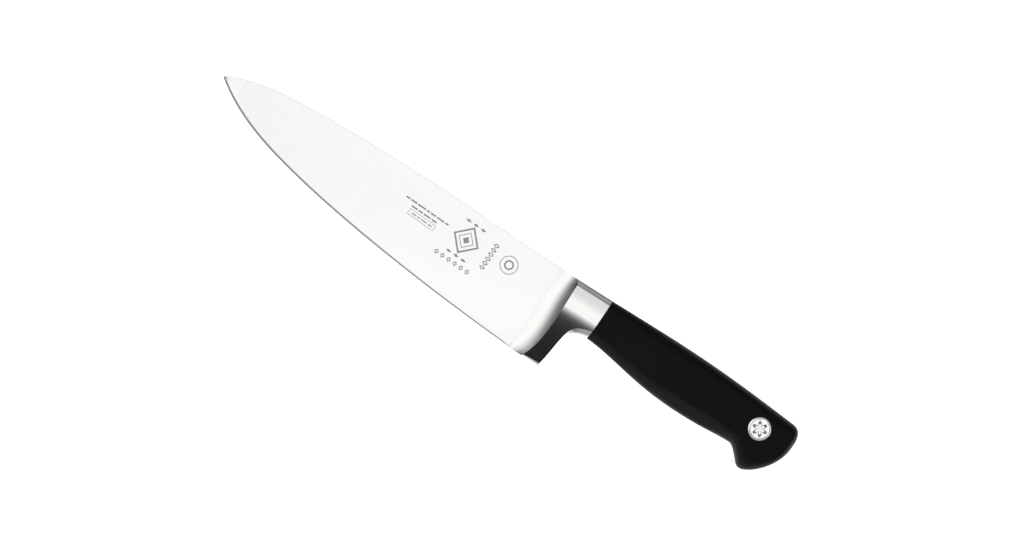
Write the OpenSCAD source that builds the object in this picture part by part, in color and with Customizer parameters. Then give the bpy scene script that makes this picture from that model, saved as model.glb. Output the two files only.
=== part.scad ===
// Chef's knife, 8 inch class, forged, with a full bolster and a moulded handle.
// The knife lies on its right side. X runs from the blade's tip to the butt, Y from the cutting
// edge to the spine, Z from the right side to the left side. The origin is the centre of the
// knife's outline, on the surface that it lies on. The outlines below are drawn from the point
// where the blade meets the bolster at the spine, on the middle plane, and placed() moves them.

/* [Blade] */
// Length from the tip to the bolster
blade_length = 203.2; // [150:1:260]
// Depth from the spine line down to the heel
blade_height = 47.8; // [40:0.5:56]
// Thickness of the spine at the bolster
spine_thickness = 3.2; // [2:0.1:4]
// Thickness of the spine at the tip
tip_thickness = 1.2; // [0.8:0.1:2]
// Thickness just above the edge bevel
edge_thickness = 0.8; // [0.3:0.1:1]
// Width of the sharpened edge bevel
edge_bevel = 0.9; // [0.5:0.1:1.5]

/* [Bolster] */
// Length of the collar between the blade and the handle
collar_length = 19.1; // [15:0.1:24]
// Full thickness of the collar
collar_thickness = 11.6; // [10.5:0.1:13.4]
// Full thickness of the finger guard at the heel
guard_thickness = 6.8; // [4:0.1:8]

/* [Handle] */
// Length of the handle behind the bolster
handle_length = 113.9; // [100:0.5:130]
// Full thickness between the two flat sides
handle_thickness = 20; // [18:0.5:24]
// Half thickness of the hard core inside
core_half = 5; // [4.2:0.1:5.2]

/* [Tang and rivet] */
// Thickness of the tang
tang_thickness = 3.2; // [2.5:0.1:4.5]
// Diameter of the two pins that hold the core halves
pin_d = 4; // [3:0.5:5]
// Diameter of the round medallion heads
medallion_d = 12.4; // [10:0.2:14]

/* [Hidden] */
$fn = 64;

// blade outline levels
spine_y = -0.4;
crown_y = 1.6;
shoulder_y = -1.9;
tip_y = -9.6;
tip_flat = 0.5;
heel_x = 4.7;
heel_y = -blade_height;
spine_round = 0.3;
edge_land = 0.1;
tip_grind = 0.03;
plunge_top_x = -11.3;
plunge_deep_x = -15.3;
plunge_foot_x = -11.3;
plunge_bends = [0.25, 2.2];
plunge_power = [2.65, 1];
plunge_tightening = 4;
ridge_top_x = 0.1;
ridge_foot_x = -4.9;

// bolster levels
collar_y = -0.6;
collar_half = collar_thickness / 2;
guard_half = guard_thickness / 2;
collar_chamfer = 2.8;
collar_chamfer_in = 1.25;
brow_drop = 0.5;
brow_slope = 0.093;
brow_softness = 0.3;
guard_y = heel_y + 1.8;
guard_bend_y = -14.1;
bend_softness = 0.2;
heel_chamfer = 1.8;
heel_chamfer_in = 0.9;
choil_chamfer = 3.3;
choil_chamfer_in = 1.5;
choil_turn = [7.35, -30];
seam_lean = 0.9;
choil_end = [collar_length - seam_lean, -22.2];

// handle levels; hx gives a position at a share of the handle's length behind the collar
function hx(share) = collar_length + share * handle_length;
grip_front_half = 6.3;
grip_crown = 0.6;
grip_swell_end = 0.5;
butt_round = 5;
top_squareness = 0.5;
belly_squareness = 0.7;
facet_slope = 0.62;
facet_width = [5.2, 7.3, 3.5];
fan_x = hx(0.827);
rivet_at = [hx(0.831), -15];
butt_x = collar_length + handle_length;

// what sits inside the handle
core_inset = 3.4;
core_low = -24;
tang_inset = 5.5;
tang_low = -22;
tang_root_x = collar_length - 4;
tang_fit = 0.15;
pin_at = [[hx(0.2), -12.5], [hx(0.55), -14.5]];
keyhole_at = [hx(0.375), -13.5];
keyhole_size = [16, 6];
rivet_shank_d = 4;
rivet_tube_d = 6;
rivet_fit = 0.1;
head_face = handle_thickness / 2 - 0.15;
head_t = 1.6;
rim_w = 0.7;
rim_drop = 0.4;
dish_r = 4.7;
dish_depth = 0.3;
shank_end = -5.5;
bore_end = -6;

// number of sections and of points in each
blade_columns = 30;
plunge_columns = 8;
bolster_columns = 20;
face_rows = 12;
grip_columns = 34;
butt_columns = 16;
ring_points = 28;

// ---- curves ----

function mix(a, b, t) = a + (b - a) * t;
function soft_min(a, b, k) = (a + b - sqrt((a - b) * (a - b) + k * k)) / 2;
function clip(v, lo, hi) = max(lo, min(hi, v));
function bez(b, t) =
    pow(1 - t, 3) * b[0] + 3 * t * pow(1 - t, 2) * b[1] + 3 * t * t * (1 - t) * b[2] + pow(t, 3) * b[3];
// where along a curve its coordinate k reaches v
function bez_find(b, k, v, lo = 0, hi = 1, n = 20) =
    let (m = (lo + hi) / 2, rising = b[3][k] > b[0][k])
    n == 0 ? m
    : (bez(b, m)[k] < v) == rising ? bez_find(b, k, v, m, hi, n - 1)
    : bez_find(b, k, v, lo, m, n - 1);
function bez_y(b, x) = bez(b, bez_find(b, 0, x))[1];

bl = blade_length;
bh = blade_height;
spine_rear = [[0, spine_y], [-0.17 * bl, spine_y], [-0.35 * bl, crown_y], [-0.458 * bl, crown_y]];
spine_mid = [[-0.458 * bl, crown_y], [-0.615 * bl, crown_y], [-0.773 * bl, crown_y - 0.7],
             [-0.882 * bl, shoulder_y]];
spine_tip = [[-0.882 * bl, shoulder_y], [-0.921 * bl, shoulder_y - 1.25], [-0.977 * bl, tip_y + 3.3],
             [-bl, tip_y]];
edge_tip = [[-bl, tip_y - tip_flat], [-0.941 * bl, -0.408 * bh], [-0.862 * bl, -0.544 * bh],
            [-0.764 * bl, -0.634 * bh]];
edge_rear = [[-0.764 * bl, -0.634 * bh], [-0.582 * bl, -0.816 * bh], [-0.262 * bl, -0.96 * bh],
             [heel_x, heel_y]];
ridge = [[ridge_top_x, spine_y], [-0.1, -0.367 * bh], [1.6, -0.76 * bh], [ridge_foot_x, heel_y + 0.2]];
guard_rear = [[heel_x, heel_y], [heel_x + 0.8, heel_y + 5.5], choil_turn - [1.05, 4.65], choil_turn];
choil = [choil_turn, choil_turn + [1.3, 5.7], choil_end - [5.8, 1.6], choil_end];

function spine_at(x) =
    x > spine_rear[3][0] ? bez_y(spine_rear, min(x, 0))
    : x > spine_mid[3][0] ? bez_y(spine_mid, x)
    : bez_y(spine_tip, x);
function edge_at(x) = x < edge_tip[3][0] ? bez_y(edge_tip, x) : bez_y(edge_rear, x);
function ridge_x(y) = bez(ridge, bez_find(ridge, 1, clip(y, ridge[3][1], ridge[0][1])))[0];
function depth_share(y) = clip((collar_y - y) / (collar_y - heel_y), 0, 1);
// where the blade's flat face ends and the plunge begins to rise
function plunge_start(y) =
    let (share = depth_share(y),
         deep = mix(plunge_top_x, plunge_deep_x, smooth(share / plunge_bends[0])))
    mix(deep, plunge_foot_x, pow(share, plunge_bends[1]));

// ---- half thickness of the steel ----

// near the tip the spine thins with the blade's depth, so that the faces keep the same slope
function blade_half(x, tall, share) =
    let (taper = mix(spine_thickness, tip_thickness, clip(-x / bl, 0, 1)) / 2,
         spine_half = min(taper, edge_thickness / 2 + tip_grind * tall))
    mix(spine_half, edge_thickness / 2, clip(share, 0, 1));
function bolster_half(y) =
    let (brow = collar_half - brow_drop + brow_slope * (collar_y - collar_chamfer - y),
         slope = collar_half + (collar_half - guard_half) * (y - guard_bend_y) / (guard_bend_y - guard_y))
    soft_min(soft_min(brow, collar_half, brow_softness), slope, bend_softness);

// A column of the steel's side face, from top to bottom. Row 0 and the last row are the outer
// edges, and the rows next to them are where the chamfer or the bevel begins.
function row_y(top, foot, lead, trail, j) =
    j == 0 ? top
    : j == face_rows - 1 ? foot
    : mix(top - lead, foot + trail, (j - 1) / (face_rows - 3));

// along runs from 0 at the tip to 1 where the plunge begins
function blade_column(along) =
    let (x_top = mix(-bl, plunge_top_x, along), x_foot = mix(-bl, plunge_foot_x, along),
         top = spine_at(x_top), foot = edge_at(x_foot), tall = top - foot,
         lead = min(spine_round, 0.2 * tall), trail = min(edge_bevel, 0.35 * tall))
    [for (j = [0 : face_rows - 1])
        let (y = row_y(top, foot, lead, trail, j), share = (top - y) / tall,
             bow = plunge_start(y) - mix(plunge_top_x, plunge_foot_x, share),
             x = mix(x_top, x_foot, share) + bow * pow(along, 6))
        [x, y,
         j == face_rows - 1 ? edge_land / 2
         : j == 0 ? max(blade_half(x, tall, 0) - lead / 2, edge_land)
         : blade_half(x, tall, (top - y) / (tall - trail))]];

// u runs from 0 where the plunge begins to 1 at the bolster's ridge
function plunge_column(u) =
    let (x_foot = mix(plunge_foot_x, ridge_foot_x, u), foot = edge_at(x_foot),
         top = mix(spine_at(plunge_top_x), collar_y, u), tall = top - foot,
         lead = mix(spine_round, collar_chamfer, u), trail = mix(edge_bevel, heel_chamfer, u))
    [for (j = [0 : face_rows - 1])
        let (y = row_y(top, foot, lead, trail, j),
             x = mix(plunge_start(y), ridge_x(y), u),
             flat = j == face_rows - 1 ? edge_land / 2
                    : j == 0 ? blade_half(x, tall, 0) - spine_round / 2
                    : blade_half(x, tall, (top - y) / (tall - trail)),
             full = j == face_rows - 1 ? bolster_half(foot + heel_chamfer) - heel_chamfer_in
                    : j == 0 ? bolster_half(collar_y - collar_chamfer) - collar_chamfer_in
                    : bolster_half(y),
             power = mix(plunge_power[0], plunge_power[1], pow(depth_share(y), plunge_tightening)))
        [x, y, mix(flat, full, pow(u, power))]];

// the seam between the bolster and the handle curves forward a little towards the choil
function seam_share(y) = clip((collar_y - y) / (collar_y - choil_end[1]), 0, 1.1);
function seam_x(y) = collar_length - seam_lean * pow(seam_share(y), 3);

// the outline of the bolster's underside: along the heel, up behind the guard, under the collar
function underside(s) =
    s < 0.3 ? let (x = mix(ridge_foot_x, heel_x, s / 0.3)) [x, edge_at(x)]
    : s < 0.6 ? bez(guard_rear, (s - 0.3) / 0.3)
    : bez(choil, (s - 0.6) / 0.4);
function bolster_column(s) =
    let (foot = underside(s), x_top = s * collar_length, tall = collar_y - foot[1],
         under = clip((s - 0.3) / 0.4, 0, 1),
         trail = mix(heel_chamfer, choil_chamfer, under),
         trail_in = mix(heel_chamfer_in, choil_chamfer_in, under))
    [for (j = [0 : face_rows - 1])
        let (y = row_y(collar_y, foot[1], collar_chamfer, trail, j), share = (collar_y - y) / tall,
             bow = (ridge_x(y) - mix(0, ridge_foot_x, clip((collar_y - y) / bh, 0, 1))) * pow(1 - s, 3),
             curl = seam_lean * (share - pow(share, 3)) * pow(s, 8),
             x = mix(x_top, foot[0], share) + curl + (j == face_rows - 1 ? 0 : bow))
        [x, y,
         j == face_rows - 1 ? bolster_half(foot[1] + trail) - trail_in
         : j == 0 ? bolster_half(collar_y - collar_chamfer) - collar_chamfer_in
         : bolster_half(y)]];

steel_columns = concat(
    [for (i = [0 : blade_columns - 1]) blade_column(pow(i / (blade_columns - 1), 1.35))],
    [for (i = [1 : plunge_columns]) plunge_column(i / plunge_columns)],
    [for (i = [1 : bolster_columns]) bolster_column(i / bolster_columns)]);

// A closed body from the columns of its left face, mirrored to the right side.
module mirrored_body(columns) {
    n = len(columns);
    m = len(columns[0]);
    left = [for (c = columns) for (p = c) p];
    right = [for (p = left) [p[0], p[1], -p[2]]];
    function l(i, j) = i * m + j;
    function r(i, j) = n * m + i * m + j;
    faces = concat(
        [for (i = [0 : n - 2]) for (j = [0 : m - 2]) each
            [[l(i, j), l(i + 1, j), l(i + 1, j + 1)], [l(i, j), l(i + 1, j + 1), l(i, j + 1)],
             [r(i, j), r(i + 1, j + 1), r(i + 1, j)], [r(i, j), r(i, j + 1), r(i + 1, j + 1)]]],
        [for (i = [0 : n - 2]) each
            [[l(i + 1, 0), l(i, 0), r(i, 0)], [l(i + 1, 0), r(i, 0), r(i + 1, 0)],
             [l(i, m - 1), l(i + 1, m - 1), r(i + 1, m - 1)], [l(i, m - 1), r(i + 1, m - 1), r(i, m - 1)]]],
        [for (j = [0 : m - 2]) each
            [[l(0, j), l(0, j + 1), r(0, j + 1)], [l(0, j), r(0, j + 1), r(0, j)],
             [l(n - 1, j + 1), l(n - 1, j), r(n - 1, j)], [l(n - 1, j + 1), r(n - 1, j), r(n - 1, j + 1)]]]);
    polyhedron(points = concat(left, right), faces = faces);
}

// ---- handle outline ----

grip_top = [[hx(0), -0.6], [hx(0.396), -0.15], [hx(0.516), 0.3], [hx(0.954), -4.2]];
grip_corner = [[hx(0.954), -4.2], [hx(0.983), -4.7], [hx(1), -7.6], [hx(1), -13.5]];
grip_butt = [[hx(0.862), -36.75], [hx(0.926), -34.3], [hx(1), -23.5], [hx(1), -13.5]];
grip_beak = [[hx(0.827), -35.45], [hx(0.835), -36.5], [hx(0.847), -37.2], [hx(0.862), -36.75]];
grip_hook = [[hx(0.757), -28.6], [hx(0.774), -28.6], [hx(0.8), -32], [hx(0.827), -35.45]];
grip_belly = [[hx(0.506), -29.95], [hx(0.644), -29.95], [hx(0.671), -28.6], [hx(0.757), -28.6]];
grip_waist = [[hx(0), -23.1], [hx(0.147), -24.1], [hx(0.266), -29.95], [hx(0.506), -29.95]];

function grip_top_at(x) = bez_y(grip_top, clip(x, hx(0), hx(0.954)));
function grip_under_at(x) =
    x < hx(0.506) ? bez_y(grip_waist, max(x, hx(0)))
    : x < hx(0.757) ? bez_y(grip_belly, x)
    : bez_y(grip_hook, min(x, fan_x));

function grip_half(x) =
    mix(grip_front_half, handle_thickness / 2 + grip_crown, smooth((x - hx(0)) / (hx(grip_swell_end) - hx(0))));
function power(v, p) = sign(v) * pow(abs(v), p);
function smooth(t) = let (c = clip(t, 0, 1)) c * c * (3 - 2 * c);
// how far up from the underside the lower facet reaches
function facet_at(x) =
    let (share = (x - hx(0)) / handle_length)
    mix(facet_width[0], facet_width[1], smooth(share / 0.45))
    - (facet_width[1] - facet_width[2]) * smooth((share - 0.6) / 0.26);

// One section of the handle between its top and its underside. The upper half is squarer than
// the lower half, which is rounded for the fingers and cut by the lower facet.
function grip_ring(top, under, half) =
    let (mid = (top + under) / 2, arm = (top - under) / 2, width = facet_at(mid[0]),
         side = min(half, handle_thickness / 2), slope = facet_slope * min(1, side / grip_front_half))
    [for (k = [0 : ring_points - 1])
        let (a = 360 * (k + 0.5) / ring_points, c = cos(a), s = sin(a),
             p = c > 0 ? top_squareness : belly_squareness,
             r = power(c, p),
             at = mid + arm * r,
             facet = side - slope * (width - norm(arm) * (1 + r)))
        [at[0], at[1], sign(s) * min(half * pow(abs(s), p), facet)]];

grip_rings = concat(
    [for (i = [0 : grip_columns - 1])
        let (x = mix(hx(0) - 2, fan_x, i / grip_columns))
        grip_ring([x, grip_top_at(x)], [x, grip_under_at(x)], grip_half(x))],
    [for (i = [0 : butt_columns])
        let (u = sin(88 * i / butt_columns),
             top = u < 0.5 ? let (x = mix(fan_x, hx(0.954), u / 0.5)) [x, grip_top_at(x)]
                   : bez(grip_corner, (u - 0.5) / 0.5),
             under = u < 0.15 ? bez(grip_beak, u / 0.15) : bez(grip_butt, (u - 0.15) / 0.85),
             left = clip((hx(1) - (top[0] + under[0]) / 2) / butt_round, 0, 1))
        grip_ring(top, under, grip_half(hx(1)) * sqrt(1 - (1 - left) * (1 - left)))]);

// A closed body through rings of points, with a flat face at each end.
module ringed_body(rings) {
    n = len(rings);
    m = len(rings[0]);
    faces = concat(
        [for (i = [0 : n - 2]) for (k = [0 : m - 1])
            let (a = i * m + k, b = i * m + (k + 1) % m)
            each [[a, b, b + m], [a, b + m, a + m]]],
        [[for (k = [m - 1 : -1 : 0]) k]],
        [[for (k = [0 : m - 1]) (n - 1) * m + k]]);
    polyhedron(points = [for (ring = rings) for (p = ring) p], faces = faces);
}

// ---- flat outlines inside the handle ----

// Follows the handle's top and underside at a distance and ends in a half circle at the rivet.
module inner_outline(x0, inset, low) {
    steps = 16;
    x1 = rivet_at[0];
    high = grip_top_at(x1) - inset;
    end_r = (high - low) / 2;
    xs = [for (i = [0 : steps]) mix(x0, x1, i / steps)];
    polygon(concat(
        [for (x = xs) [x, grip_top_at(x) - inset]],
        [for (a = [75 : -15 : -75]) [x1 + end_r * cos(a), high - end_r + end_r * sin(a)]],
        [for (i = [steps : -1 : 0]) [xs[i], max(grip_under_at(xs[i]) + inset, low)]]));
}

module core_outline() {
    inner_outline(collar_length - 2, core_inset, core_low);
}

module tang_outline(grow = 0) {
    inner_outline(tang_root_x, tang_inset - grow, tang_low - grow);
}

module rod(at, d, z0, z1) {
    translate([at[0], at[1], z0]) cylinder(h = z1 - z0, d = d);
}

// ---- the pieces ----

// Moves a piece from the drawing's origin to the knife's own.
module placed() {
    translate([(blade_length - butt_x) / 2, -(crown_y + heel_y) / 2, handle_thickness / 2]) children();
}

// One forging: blade, plunge, collar, finger guard and tang.
module forged_blade() {
    color("silver")
    difference() {
        union() {
            mirrored_body(steel_columns);
            translate([0, 0, -tang_thickness / 2]) linear_extrude(tang_thickness) tang_outline();
        }
        for (p = pin_at) rod(p, pin_d, -tang_thickness, tang_thickness);
        rod(rivet_at, rivet_tube_d + rivet_fit, -tang_thickness, tang_thickness);
        translate([keyhole_at[0], keyhole_at[1], -tang_thickness])
        linear_extrude(2 * tang_thickness) {
            square(keyhole_size, center = true);
            translate([-keyhole_size[0] / 2, 0]) circle(d = keyhole_size[1]);
            translate([keyhole_size[0] / 2, 0]) circle(d = keyhole_size[1]);
        }
    }
}

// Everything behind the seam, to a full thickness of t.
module behind_seam(t) {
    y0 = -2 * blade_height;
    translate([0, 0, -t / 2]) linear_extrude(t)
    polygon(concat(
        [[2 * butt_x, y0], [2 * butt_x, -y0], [collar_length, -y0]],
        [for (y = [2 : -2 : -26]) [seam_x(y), y]],
        [[seam_x(y0), y0]]));
}

module core_half_shell(side) {
    color("dimgray")
    mirror([0, 0, side < 0 ? 1 : 0])
    difference() {
        intersection() {
            linear_extrude(core_half) core_outline();
            behind_seam(handle_thickness);
        }
        translate([0, 0, -1]) linear_extrude(1 + tang_thickness / 2) tang_outline(tang_fit);
        for (p = pin_at) rod(p, pin_d, -1, core_half + 1);
        rod(rivet_at, rivet_tube_d + rivet_fit, -1, core_half + 1);
    }
}

module core_left() {
    core_half_shell(1);
}

module core_right() {
    core_half_shell(-1);
}

module core_pin(i) {
    color("lightsteelblue") rod(pin_at[i], pin_d, -core_half, core_half);
}

module core_pin_front() {
    core_pin(0);
}

module core_pin_rear() {
    core_pin(1);
}

// The soft skin, moulded round the two core halves and open towards the bolster.
module grip() {
    color([0.1, 0.1, 0.1])
    difference() {
        intersection() {
            ringed_body(grip_rings);
            behind_seam(handle_thickness);
        }
        translate([0, 0, -core_half]) linear_extrude(2 * core_half) core_outline();
        rod(rivet_at, rivet_tube_d + rivet_fit, -handle_thickness, handle_thickness);
        for (side = [0, 1]) mirror([0, 0, side]) rod(rivet_at, medallion_d, head_face - head_t, handle_thickness);
    }
}

// Profile of a medallion head, with a bevelled rim round a shallow dish.
module head_profile() {
    r = medallion_d / 2;
    polygon([[0, head_face - head_t], [r, head_face - head_t], [r, head_face - rim_drop], [r - rim_w, head_face],
             [dish_r, head_face], [dish_r - dish_depth, head_face - dish_depth], [0, head_face - dish_depth]]);
}

module medallion_rivet_male() {
    color("gainsboro")
    translate([rivet_at[0], rivet_at[1], 0])
    union() {
        rotate_extrude() head_profile();
        translate([0, 0, shank_end]) cylinder(h = head_face - head_t - shank_end + 0.2, d = rivet_shank_d);
    }
}

module medallion_rivet_female() {
    tube_end = head_face - head_t;
    color("gainsboro")
    translate([rivet_at[0], rivet_at[1], 0])
    difference() {
        union() {
            mirror([0, 0, 1]) rotate_extrude() head_profile();
            translate([0, 0, -tube_end - 0.2]) cylinder(h = 2 * tube_end + 0.2, d = rivet_tube_d);
        }
        translate([0, 0, bore_end]) cylinder(h = handle_thickness, d = rivet_shank_d);
    }
}

placed() forged_blade();
placed() core_left();
placed() core_right();
placed() core_pin_front();
placed() core_pin_rear();
placed() grip();
placed() medallion_rivet_female();
placed() medallion_rivet_male();
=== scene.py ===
"""Looks for the forged chef's knife: smooth steel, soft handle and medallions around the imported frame."""

import math

import bmesh
import bpy
import numpy as np
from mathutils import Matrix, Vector


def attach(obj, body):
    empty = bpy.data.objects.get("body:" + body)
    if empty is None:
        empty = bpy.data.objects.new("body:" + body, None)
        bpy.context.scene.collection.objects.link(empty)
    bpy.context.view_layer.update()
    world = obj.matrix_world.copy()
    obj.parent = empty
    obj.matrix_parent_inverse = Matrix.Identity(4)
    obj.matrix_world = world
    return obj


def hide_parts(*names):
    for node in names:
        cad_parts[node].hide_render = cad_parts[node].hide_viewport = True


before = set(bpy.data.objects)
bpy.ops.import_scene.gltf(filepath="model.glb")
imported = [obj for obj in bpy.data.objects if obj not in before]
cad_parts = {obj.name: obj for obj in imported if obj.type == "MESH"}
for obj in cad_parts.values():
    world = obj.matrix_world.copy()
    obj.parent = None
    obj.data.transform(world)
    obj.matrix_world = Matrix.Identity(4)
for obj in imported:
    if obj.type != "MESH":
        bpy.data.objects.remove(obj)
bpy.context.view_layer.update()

# ------------------------------------------------------------------------------------------
# Sizes, in millimetres. x is measured from the line where the blade meets the bolster, y from
# the top of the collar, z from the knife's middle plane; to_frame() moves them into the frame.
# ------------------------------------------------------------------------------------------

MM = 0.001
BLADE_LENGTH = 203.2
BLADE_HEIGHT = 47.8
COLLAR_LENGTH = 19.1
HANDLE_LENGTH = 113.9
HALF_HANDLE = 10.0

SPINE_Y = -0.4
CROWN_Y = 1.6
SHOULDER_Y = -1.9
TIP_Y = -9.6
TIP_FLAT = 0.5
HEEL = (4.7, -BLADE_HEIGHT)
SPINE_HALF = 1.6
TIP_HALF = 0.6
EDGE_HALF = 0.4
EDGE_LAND = 0.05
SPINE_ROUND = 0.3
TIP_GRIND = 0.03
PLUNGE_TOP_X = -11.3
PLUNGE_DEEP_X = -15.3
PLUNGE_FOOT_X = -11.3
PLUNGE_BENDS = (0.25, 2.2)
PLUNGE_POWER = (2.65, 1.0)
PLUNGE_TIGHTENING = 4
RIDGE_TOP_X = 0.1
RIDGE_FOOT_X = -4.9

COLLAR_Y = -0.6
COLLAR_HALF = 5.8
COLLAR_CHAMFER = 2.8
BROW_DROP = 0.5
BROW_SLOPE = 0.093
BROW_SOFTNESS = 0.3
GUARD_HALF = 3.4
GUARD_Y = HEEL[1] + 1.8
GUARD_BEND_Y = -14.1
BEND_SOFTNESS = 0.2
RIDGE_CHAMFER = 1.0
HEEL_CHAMFER = 1.8
HEEL_CHAMFER_IN = 0.9
CHOIL_CHAMFER = 3.3
CHOIL_CHAMFER_IN = 1.5
CHOIL_TURN = (7.35, -30.0)
SEAM_LEAN = 0.9
CHOIL_END = (COLLAR_LENGTH - SEAM_LEAN, -22.2)

BUTT_X = COLLAR_LENGTH + HANDLE_LENGTH
ORIGIN = np.array([(BLADE_LENGTH - BUTT_X) / 2, -(CROWN_Y + HEEL[1]) / 2, HALF_HANDLE])


def to_frame(points):
    """Millimetres in the drawing to metres in the frame."""
    return (np.asarray(points, float) + ORIGIN) * MM


# ------------------------------------------------------------------------------------------
# Curves
# ------------------------------------------------------------------------------------------


def mix(a, b, t):
    return a + (b - a) * t


def clip(v, lo, hi):
    return max(lo, min(hi, v))


def soft_min(a, b, k):
    return (a + b - math.sqrt((a - b) ** 2 + k * k)) / 2


def smooth(t):
    t = clip(t, 0.0, 1.0)
    return t * t * (3 - 2 * t)


def bez(b, t):
    w = ((1 - t) ** 3, 3 * t * (1 - t) ** 2, 3 * t * t * (1 - t), t**3)
    return tuple(sum(w[i] * b[i][k] for i in range(4)) for k in range(2))


def bez_find(b, k, v):
    """Where along a curve its coordinate k reaches v."""
    lo, hi = 0.0, 1.0
    rising = b[3][k] > b[0][k]
    for _ in range(32):
        mid = (lo + hi) / 2
        if (bez(b, mid)[k] < v) == rising:
            lo = mid
        else:
            hi = mid
    return (lo + hi) / 2


def bez_y(b, x):
    return bez(b, bez_find(b, 0, x))[1]


# Bezier curves of the outline, each by its four control points
L, H = BLADE_LENGTH, BLADE_HEIGHT
SPINE_REAR = [(0, SPINE_Y), (-0.17 * L, SPINE_Y), (-0.35 * L, CROWN_Y), (-0.458 * L, CROWN_Y)]
SPINE_MID = [
    (-0.458 * L, CROWN_Y),
    (-0.615 * L, CROWN_Y),
    (-0.773 * L, CROWN_Y - 0.7),
    (-0.882 * L, SHOULDER_Y),
]
SPINE_TIP = [
    (-0.882 * L, SHOULDER_Y),
    (-0.921 * L, SHOULDER_Y - 1.25),
    (-0.977 * L, TIP_Y + 3.3),
    (-L, TIP_Y),
]
EDGE_TIP = [
    (-L, TIP_Y - TIP_FLAT),
    (-0.941 * L, -0.408 * H),
    (-0.862 * L, -0.544 * H),
    (-0.764 * L, -0.634 * H),
]
EDGE_REAR = [(-0.764 * L, -0.634 * H), (-0.582 * L, -0.816 * H), (-0.262 * L, -0.96 * H), HEEL]
RIDGE = [(RIDGE_TOP_X, SPINE_Y), (-0.1, -0.367 * H), (1.6, -0.76 * H), (RIDGE_FOOT_X, HEEL[1] + 0.2)]
GUARD_REAR = [HEEL, (HEEL[0] + 0.8, HEEL[1] + 5.5), (CHOIL_TURN[0] - 1.05, CHOIL_TURN[1] - 4.65), CHOIL_TURN]
CHOIL = [
    CHOIL_TURN,
    (CHOIL_TURN[0] + 1.3, CHOIL_TURN[1] + 5.7),
    (CHOIL_END[0] - 5.8, CHOIL_END[1] - 1.6),
    CHOIL_END,
]


def spine_at(x):
    if x > SPINE_REAR[3][0]:
        return bez_y(SPINE_REAR, min(x, 0.0))
    return bez_y(SPINE_MID if x > SPINE_MID[3][0] else SPINE_TIP, x)


def edge_at(x):
    return bez_y(EDGE_TIP if x < EDGE_TIP[3][0] else EDGE_REAR, x)


def ridge_x(y):
    return bez(RIDGE, bez_find(RIDGE, 1, clip(y, RIDGE[3][1], RIDGE[0][1])))[0]


def depth_share(y):
    return clip((COLLAR_Y - y) / (COLLAR_Y - HEEL[1]), 0, 1)


def plunge_start(y):
    """Where the blade's flat face ends and the plunge begins to rise."""
    share = depth_share(y)
    deep = mix(PLUNGE_TOP_X, PLUNGE_DEEP_X, smooth(share / PLUNGE_BENDS[0]))
    return mix(deep, PLUNGE_FOOT_X, share ** PLUNGE_BENDS[1])


def blade_half(x, tall, share):
    """Near the tip the spine thins with the blade's depth, so that the faces keep the same slope."""
    taper = mix(SPINE_HALF, TIP_HALF, clip(-x / L, 0, 1))
    return mix(min(taper, EDGE_HALF + TIP_GRIND * tall), EDGE_HALF, clip(share, 0, 1))


def bolster_half(y):
    brow = COLLAR_HALF - BROW_DROP + BROW_SLOPE * (COLLAR_Y - COLLAR_CHAMFER - y)
    slope = COLLAR_HALF + (COLLAR_HALF - GUARD_HALF) * (y - GUARD_BEND_Y) / (GUARD_BEND_Y - GUARD_Y)
    return soft_min(soft_min(brow, COLLAR_HALF, BROW_SOFTNESS), slope, BEND_SOFTNESS)


# ------------------------------------------------------------------------------------------
# The forging's left face, as columns of points from top to bottom
# ------------------------------------------------------------------------------------------

# shares of the top's chamfer and of the foot's bevel at which the columns have points
LEAD_STEPS = (0.0, 0.12, 0.29, 0.33, 0.37, 0.52, 0.66, 0.7, 0.74, 0.88)
MAIN_ROWS = 40
TRAIL_STEPS = (0.94, 0.88, 0.8, 0.68, 0.54, 0.4, 0.25, 0.12, 0.0)
BLADE_COLUMNS = 170
PLUNGE_COLUMNS = 40
BOLSTER_COLUMNS = 80
BEVEL_AT_TIP = 1.3
BEVEL_AT_HEEL = 0.75
BEVEL_RUN_OUT = 9.0
BEVEL_END_X = -8.0
BEVEL_LEAST = 0.08
BEVEL_SHARE_LIMIT = 0.5
SPINE_FALL = 0.17
SPINE_SHARE_LIMIT = 0.15
# how the columns close up towards the plunge, and how late they take on its bow
COLUMN_SPACING = 1.35
BLADE_BOW_POWER = 6
BOLSTER_BOW_POWER = 3
SEAM_POWER = 8
# the three facets of the collar's top strip: where they meet, and how steeply each falls
COLLAR_FACETS = (0.7, 0.33)
COLLAR_FALLS = (0.28, 0.45, 0.58)
# the underside's narrow rounding, and how much of its turn is even
HEEL_ROUNDING = 0.3
HEEL_ROUNDING_FALL = 0.18
HEEL_EVEN = 0.85
# the underside runs below the guard, up the guard's rear, and round the choil
UNDER_HEEL_END = 0.3
UNDER_GUARD_END = 0.6
UNDER_TURN_WIDTH = 0.4


def face_column(top, foot, lead, trail, x_of, half_of, lead_shape, trail_shape):
    """A column down the face. lead_shape and trail_shape give the half thickness over the top's
    chamfer and the foot's bevel, for 0 at the outer edge to 1 where the main face begins."""
    levels = [top - lead * t for t in LEAD_STEPS]
    column = [(y, lead_shape(t, y)) for t, y in zip(LEAD_STEPS, levels)]
    for j in range(MAIN_ROWS + 1):
        y = mix(top - lead, foot + trail, j / MAIN_ROWS)
        column.append((y, half_of(y)))
    column += [(foot + trail * t, trail_shape(t)) for t in TRAIL_STEPS]
    return [(x_of(y), y, half) for y, half in column]


def bevel_width(x):
    wide = mix(BEVEL_AT_HEEL, BEVEL_AT_TIP, clip(-x / L, 0, 1))
    return max(BEVEL_LEAST, wide * smooth((BEVEL_END_X - x) / BEVEL_RUN_OUT))


def bevel_slope(x, full):
    return (full - EDGE_LAND) / mix(BEVEL_AT_HEEL, BEVEL_AT_TIP, clip(-x / L, 0, 1))


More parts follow.
